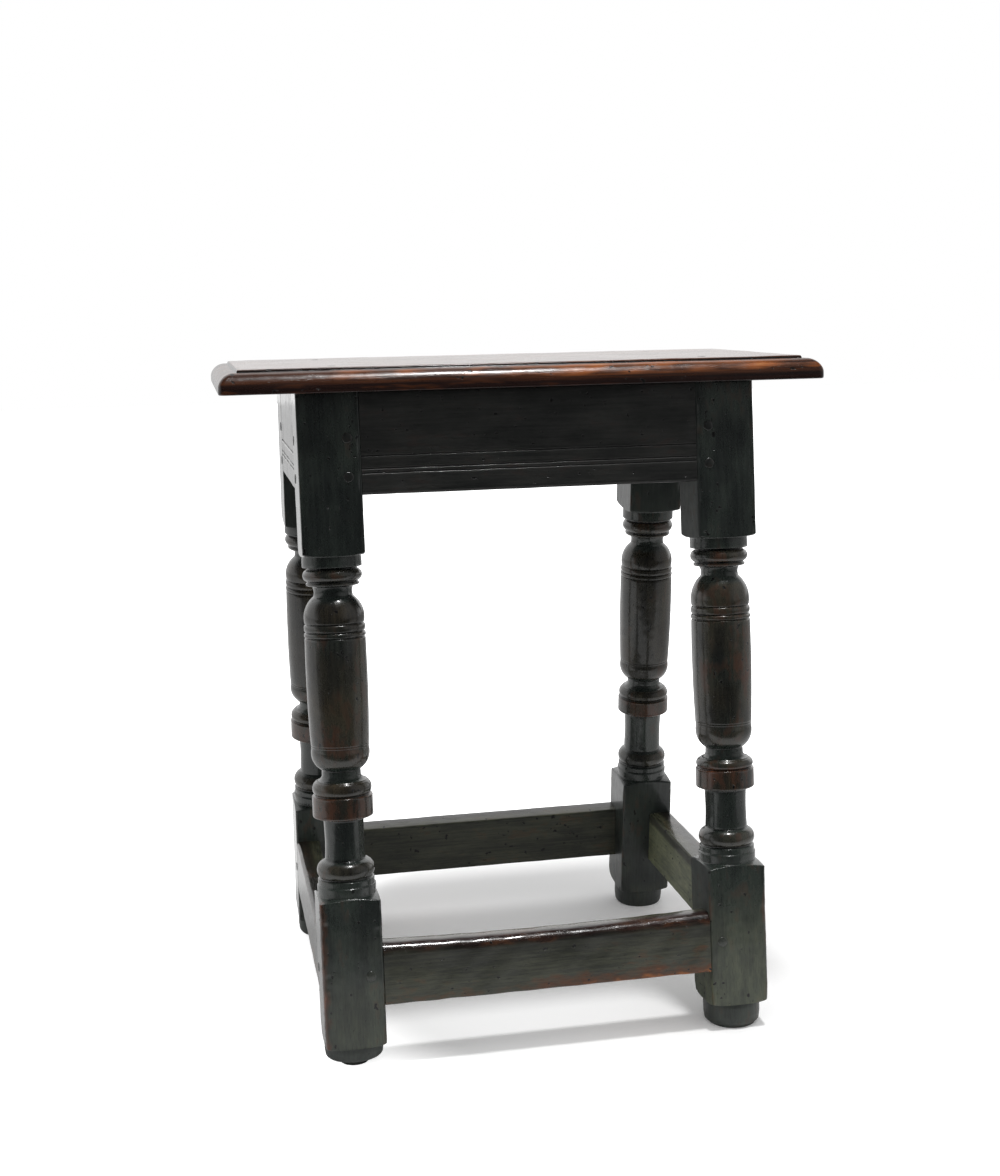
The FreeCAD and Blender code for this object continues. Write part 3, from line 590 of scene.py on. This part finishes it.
# end grain drinks the wax, and shows darker and redder than the legs round it
peg_oak = aged_oak("riven_peg_oak", seed=4, tones={
    "brown": ("#120e0c", "#281d18"), "film": ("#151919", "#242927"), "rub": "#33201a", "bare": "#4a2c1a",
    "dust": ("#3c4138", "#4e5349"), "wax": "#050505",
}, gloss=0.3)
peg_radius = 4.15
dusty_below = 200
for number, name in enumerate(sorted(name for name in frame["nodes"] if name.startswith("peg_"))):
    low, high = box_mm(name)
    middle, side = (low + high) / 2, name.split("_")[2]
    if name.startswith("peg_board"):
        axis, length = np.array([0, 0, 1.0]), high[2] - low[2]
        head = np.array([middle[0], middle[1], high[2]])
    elif side in ("left", "right"):
        outward = 1 if side == "right" else -1
        axis, length = np.array([outward, 0, 0.0]), high[0] - low[0]
        head = middle + axis * length / 2
    else:
        # a peg of the leaning faces: its box is longer and taller than it is by what the lean adds
        outward = 1 if side == "back" else -1
        axis = np.array([0, outward * np.cos(lean), np.sin(lean)])
        across = high[0] - low[0]
        length = (high[1] - low[1] - across * np.sin(lean)) / np.cos(lean)
        head = middle + axis * length / 2
    first = np.cross(axis, (0.3, 0.2, 0.9) if abs(axis[2]) < 0.5 else (1, 0, 0))
    first /= np.linalg.norm(first)
    local = peg_grid(peg_radius, length, seed=number)
    placed = head + local @ np.stack([first, np.cross(axis, first), axis])
    peg = skin(f"{name}_riven", placed, local + (50 * number, 0, 0), film=0.8, rubbed=0.05,
               dust=0.35 if middle[2] < dusty_below else 0.0)
    finish_piece(peg, peg_oak, name)

# The board: one oak plank, 490 by 254 by 19 mm, with a thumbnail moulding planed round its four edges and a
# small quirk that leaves the field standing proud. Four pegs hold it down on the legs.

board_low, board_high = box_mm("top_board")
board_middle, board_half = (board_low + board_high) / 2, (board_high - board_low) / 2
under, top = board_low[2], board_high[2]
# from the underside round the edge to the field: how far in from the edge, height, and the swell of an arc
moulding = [
    (18, under), (0.9, under), (0.2, under + 0.5), (0, under + 1.6), (0, under + 4.6),
    (0.1, under + 6.4, -3.4), (14.0, under + 16.6), (14.9, under + 16.8), (15.2, under + 18.2),
    (15.8, under + 18.8), (17, top), (18, top),
]


def rectangle_path(count_x, count_y, count_corner):
    """Once round a rectangle with round corners, from the near left: each point's share of the half sides
    that its corner's middle has, and the way out at that point."""
    run_x, run_y = (np.sin(np.linspace(-np.pi / 2, np.pi / 2, count)) for count in (count_x, count_y))
    swing = np.linspace(0, np.pi / 2, count_corner + 2)[1:-1]
    shares, ways = [], []
    for corner, run in enumerate((run_x, run_y, run_x, run_y)):
        turn = corner * np.pi / 2
        spin = np.array([[np.cos(turn), np.sin(turn)], [-np.sin(turn), np.cos(turn)]])
        edge = np.concatenate([run, np.ones(count_corner)])
        angle = np.concatenate([np.full(len(run), -np.pi / 2), swing - np.pi / 2])
        shares.append(np.stack([edge, -np.ones(len(edge))], -1) @ spin)
        ways.append(np.stack([np.cos(angle), np.sin(angle)], -1) @ spin)
    return np.concatenate(shares), np.concatenate(ways)


def board_shape(seed):
    """The board as rings round its middle. A ring set in by i has corners rounded by r = 5 (1 - i / 15), at
    least 0.4 mm, and runs at (half - i - r) of each share plus r of the way out."""
    shares, ways = rectangle_path(count_x=120, count_y=70, count_corner=5)
    edge = run_line(moulding, 0.8)
    inset, height = edge[:, 0], edge[:, 1]
    rounding = np.clip(5 * (1 - inset / 15), 0.4, None)
    reach = board_half[:2] - (inset + rounding)[:, None]
    rim = reach[:, None] * shares + rounding[:, None, None] * ways
    rim = np.concatenate([rim, np.broadcast_to(height[:, None, None], (*rim.shape[:2], 1))], -1)
    inner = np.linspace(1, 0.02, 44)[1:, None, None] * rim[-1]
    upper = inner * (1, 1, 0) + (0, 0, top)
    lower = inner[::-1] * (1, 1, 0) + (0, 0, under)
    grid = np.concatenate([lower, rim, upper])
    # on the flat rings the inset only has to be past the moulding
    inset = np.concatenate([np.full(len(lower), 40), inset, np.full(len(upper), 40)])[:, None]
    worn = waves(grid * (1, 1, 2), 30, seed)
    on_top = step_up(grid[..., 2], under + 8, under + 12)
    edge_worn = 0.12 * worn * np.exp(-((inset - 15.5) / 2) ** 2)
    grid[..., 2] += on_top * (0.1 * waves(grid, 70, seed + 1) + edge_worn - 0.2)
    return grid, inset, worn


# waxed again and again: red-brown with a drawn-out figure, honey gold where the moulding is worn and where a
# warm highlight is painted along its crest, and painted shade on the lower part of the edge
board_oak = aged_oak("waxed_oak_plank", seed=5, tones={
    "brown": ("#29130a", "#653616"), "film": ("#180e0e", "#2e1812"), "rub": "#8e4a0d", "bare": "#b4721c",
    "dust": ("#4c3c2c", "#6c5a44"), "wax": "#080403",
}, gloss=0.26, coat=0.25, figure=0.6, drawn_out=3.0)
grid, inset, worn = board_shape(seed=80)
height = grid[..., 2]
# the crest of the moulding, which wear and a painted warm highlight turn orange
crest_wear_and_highlight = step_up(height, under + 6, under + 12) * step_down(inset, 9, 14)
in_the_quirk = step_up(inset, 13.2, 14.4) * step_down(height, under + 17.4, under + 18.6)
along = step_up(grid[..., 0], -210, 60)
board = skin("top_board_moulded", grid + (board_middle[0], board_middle[1], 0), grid[..., [1, 2, 0]],
             # the lower part of the edge is darkened as painted shade, and the board is darker towards the
             # left
             film=step_down(height, under + 3.5, under + 8.5) + 0.5 * (1 - along) * (inset < 16),
             # the crest is rubbed orange, as worn wood and as a painted warm highlight, more so to the right
             rubbed=crest_wear_and_highlight * (0.05 + 0.5 * along + 0.2 * worn) + 0.03 * (inset > 16),
             # the quirk is darkened with painted shade and wax
             grime=in_the_quirk * step_up(height, under + 8, under + 12),
             matt=-0.22 * (inset > 16))
finish_piece(board, board_oak, "top_board")

# The studio: a sheet of white paper under the stool in even white light, a small lamp high over it that draws
# the stretcher's shadow, and a dark room behind the camera, which the polish mirrors.

floor_mesh = bpy.data.meshes.new("floor")
reach = 9
floor_mesh.from_pydata([(-reach, -reach, 0), (reach, -reach, 0), (reach, reach, 0), (-reach, reach, 0)],
                       [], [(0, 1, 2, 3)])
floor = bpy.data.objects.new("floor", floor_mesh)
bpy.context.scene.collection.objects.link(floor)
paper = bpy.data.materials.new("white_paper_sweep")
paper.use_nodes = True
tree = paper.node_tree
tree.nodes.clear()
place = add_node(tree, "TexCoord", out="Object")
camera_ray = add_node(tree, "LightPath", out="Is Camera Ray")
# What light and polish meet: the paper ends in front of the stool, further off on the right, where it is also
# dimmer, and past it the floor is dark. To the camera it is white all over.
side_share = add_node(tree, "SeparateXYZ", {"Vector": place}, "X")
askew = add_node(tree, "MapRange", {"Value": side_share, "From Min": 0.4, "From Max": 1.4, "To Max": 0.9})
paper_end = add_node(tree, "SeparateXYZ", {"Vector": place}, "Y")
paper_end = add_node(tree, "Math", {0: paper_end, 1: askew})
paper_white = add_node(tree, "MapRange", {"Value": paper_end, "From Min": -0.60, "From Max": -0.42,
                                          "To Min": 0.03, "To Max": 0.76}, interpolation_type="SMOOTHSTEP")
dimmer = add_node(tree, "MapRange", {"Value": side_share, "From Min": 0.25, "From Max": 0.9, "To Min": 1.0,
                                     "To Max": 0.5})
paper_tone = add_node(tree, "Math", {0: paper_white, 1: dimmer}, operation="MULTIPLY")
tone = add_node(tree, "Mix", {0: camera_ray, 2: paper_tone, 3: 0.99})
# the paper goes over to plain white away from the stool's shadow
oval = add_node(tree, "Mapping", {"Vector": place, "Location": (0.16, 0.05, 0), "Scale": (0.34, 0.37, 1)},
                vector_type="TEXTURE")
away = add_node(tree, "VectorMath", {0: oval}, "Value", operation="LENGTH")
fade = add_node(tree, "MapRange", {"Value": away, "From Min": 0.85, "From Max": 1.15, "To Min": 0.05,
                                   "To Max": 1.0}, interpolation_type="SMOOTHSTEP")
white_share = add_node(tree, "Math", {0: fade, 1: camera_ray}, operation="MULTIPLY")
lit = add_node(tree, "BsdfDiffuse", {"Color": tone})
white = add_node(tree, "Emission", {"Color": (1, 1, 1, 1), "Strength": white_share})
both = add_node(tree, "AddShader", {0: lit, 1: white})
add_node(tree, "OutputMaterial", {"Surface": both})
floor_mesh.materials.append(paper)

world = bpy.data.worlds.new("studio")
bpy.context.scene.world = world
world.use_nodes = True
tree = world.node_tree
tree.nodes.clear()
rays = add_node(tree, "LightPath").node.outputs
direction = add_node(tree, "TexCoord", out="Generated")
# polish mirrors white from the back and left, and the dark room from the front
back_left = add_node(tree, "VectorMath", {0: direction, 1: (-0.25, 1, -0.8)}, "Value",
                     operation="DOT_PRODUCT")
mirrored = add_node(tree, "MapRange", {"Value": back_left, "From Min": -0.3, "From Max": 0.1, "To Min": 0.03},
                    interpolation_type="SMOOTHSTEP")
# a pale wall well to the right, dim, that the right sides of the turnings mirror
right_wall = add_node(tree, "VectorMath", {0: direction, 1: (0.95, -0.3, 0.1)}, "Value",
                      operation="DOT_PRODUCT")
dim_right = add_node(tree, "MapRange", {"Value": right_wall, "From Min": 0.5, "From Max": 0.9, "To Min": 0.0,
                                        "To Max": 0.35}, interpolation_type="SMOOTHSTEP")
mirrored = add_node(tree, "Math", {0: mirrored, 1: dim_right}, operation="MAXIMUM")
polish_ray = add_node(tree, "Math", {0: rays["Is Glossy Ray"], 1: rays["Is Transmission Ray"]},
                      operation="MAXIMUM")
ambient = 0.8
light = add_node(tree, "Mix", {0: polish_ray, 2: ambient, 3: mirrored})
strength = add_node(tree, "Math", {0: light, 1: rays["Is Camera Ray"]}, operation="MAXIMUM")
sky = add_node(tree, "Background", {"Color": (1, 1, 1, 1), "Strength": strength})
add_node(tree, "OutputWorld", {"Surface": sky})

lamp_place, lamp_aim = Vector((0.3, -0.36, 2.55)), Vector((0, 0, 0.3))
lamp = bpy.data.lights.new("overhead_lamp", "AREA")
lamp.shape = "DISK"
lamp.size = 0.22
lamp.energy = 28
lamp_holder = bpy.data.objects.new("overhead_lamp", lamp)
lamp_holder.location = lamp_place
lamp_holder.rotation_euler = (lamp_aim - lamp_place).to_track_quat("-Z", "Y").to_euler()
bpy.context.scene.collection.objects.link(lamp_holder)

# The camera: where the photograph was taken from, left of the stool's middle and a little higher than the
# board, with its lens and its tilt.

camera_place = (-0.273548, -1.369121, 0.606695)
yaw, pitch, roll = 0.19381, -0.17616, -0.01919
forward = Vector((np.sin(yaw) * np.cos(pitch), np.cos(yaw) * np.cos(pitch), np.sin(pitch)))
level = Vector((np.cos(yaw), -np.sin(yaw), 0))
plumb = level.cross(forward)
right = np.cos(roll) * level + np.sin(roll) * plumb
upward = np.cos(roll) * plumb - np.sin(roll) * level
camera_data = bpy.data.cameras.new("camera")
camera_data.lens = 49.03
camera_data.sensor_width = 36
camera = bpy.data.objects.new("camera", camera_data)
turned_to = Matrix((right, upward, -forward)).transposed().to_4x4()
camera.matrix_world = Matrix.Translation(camera_place) @ turned_to
bpy.context.scene.collection.objects.link(camera)
bpy.context.scene.camera = camera
bpy.context.scene.view_settings.view_transform = "Standard"
